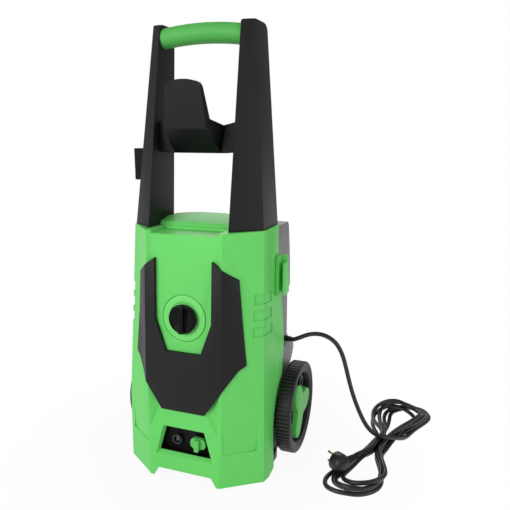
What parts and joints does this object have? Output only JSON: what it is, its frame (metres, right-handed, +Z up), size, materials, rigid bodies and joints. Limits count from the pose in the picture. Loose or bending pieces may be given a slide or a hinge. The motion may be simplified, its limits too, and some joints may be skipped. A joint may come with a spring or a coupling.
{
  "type": "pressure washer",
  "caption": "Upright electric pressure washer on wheels, with a tall handle, a hose hook, a rotary switch, a hose bay and a free mains cord laid in a hank.",
  "frame": {"origin": "middle of the machine's footprint, on the floor, without the free cord", "axes": "+Z up, the front panel faces -Y, +X is the side that the cord leaves"},
  "size_m": [0.6159, 0.444, 0.85],
  "materials": {
    "shell_green": "moulded ABS, bright green, fine satin grain",
    "trim_green": "moulded plastic, deeper green, satin",
    "black_plastic": "moulded polypropylene, near black, fine grain",
    "gray_plastic": "moulded polypropylene, mid gray, fine grain",
    "black_rubber": "black rubber, dull",
    "tyre_rubber": "black tyre rubber, satin",
    "zinc_steel": "zinc plated steel, machined",
    "cast_aluminium": "die cast aluminium, as cast",
    "copper_winding": "enamelled copper winding on laminations",
    "brass_fitting": "turned brass"
  },
  "bodies": {
    "washer": {"front_shell": "shell_green", "dial_plate": "shell_green", "lance_holder": "shell_green", "handle_grip": "trim_green", "trim_panel": "black_plastic", "switch_box": "black_plastic", "bay_tray": "black_plastic", "outlet_port": "black_plastic", "inlet_port": "black_plastic", "chassis_tray": "black_plastic", "upright_left": "black_plastic", "upright_right": "black_plastic", "upright_cover_left": "black_plastic", "upright_cover_right": "black_plastic", "hose_hook": "black_plastic", "nozzle_rack": "black_plastic", "motor_cradle": "black_plastic", "pressure_switch": "black_plastic", "inlet_pipe": "black_plastic", "rear_shell": "gray_plastic", "capacitor": "gray_plastic", "foot_pad_left": "black_rubber", "foot_pad_right": "black_rubber", "cord_gland": "black_rubber", "power_cord": "black_rubber", "cord_hank": "black_rubber", "plug_body": "black_rubber", "rear_screw_1": "zinc_steel", "rear_screw_2": "zinc_steel", "rear_screw_3": "zinc_steel", "rear_screw_4": "zinc_steel", "axle": "zinc_steel", "handle_screw_left_1": "zinc_steel", "handle_screw_left_2": "zinc_steel", "handle_screw_right_1": "zinc_steel", "handle_screw_right_2": "zinc_steel", "piston_1": "zinc_steel", "piston_2": "zinc_steel", "piston_3": "zinc_steel", "bearing_lower": "zinc_steel", "bearing_upper": "zinc_steel", "pump_head": "cast_aluminium", "crank_case": "cast_aluminium", "motor_casing": "cast_aluminium", "motor_cover": "cast_aluminium", "stator": "copper_winding", "outlet_pipe": "brass_fitting", "plug_pin_1": "brass_fitting", "plug_pin_2": "brass_fitting"},
    "power_knob": {"power_knob": "black_plastic"},
    "inlet_tap": {"inlet_tap": "trim_green"},
    "wheel_left": {"tyre_left": "tyre_rubber", "wheel_rim_left": "black_plastic", "hubcap_left": "trim_green"},
    "wheel_right": {"tyre_right": "tyre_rubber", "wheel_rim_right": "black_plastic", "hubcap_right": "trim_green"},
    "motor_rotor": {"rotor": "zinc_steel", "fan": "black_plastic", "wobble_plate": "zinc_steel"}
  },
  "joints": [
    {"name": "knob_turn", "type": "hinge", "parent": "washer", "child": "power_knob", "pos_m": [0, -0.1249, 0.323], "axis": [0, 0.9984, -0.0558], "range_deg": [0, 90]},
    {"name": "tap_turn", "type": "hinge", "parent": "washer", "child": "inlet_tap", "pos_m": [0.0255, -0.12, 0.0775], "axis": [0, 1, 0], "range_deg": [0, 90]},
    {"name": "wheel_left_spin", "type": "hinge", "parent": "washer", "child": "wheel_left", "pos_m": [-0.161, 0.049, 0.094], "axis": [1, 0, 0], "continuous": true},
    {"name": "wheel_right_spin", "type": "hinge", "parent": "washer", "child": "wheel_right", "pos_m": [0.161, 0.049, 0.094], "axis": [1, 0, 0], "continuous": true},
    {"name": "motor_spin", "type": "hinge", "parent": "washer", "child": "motor_rotor", "pos_m": [0, -0.025, 0.3], "axis": [0, 0, 1], "continuous": true}
  ]
}
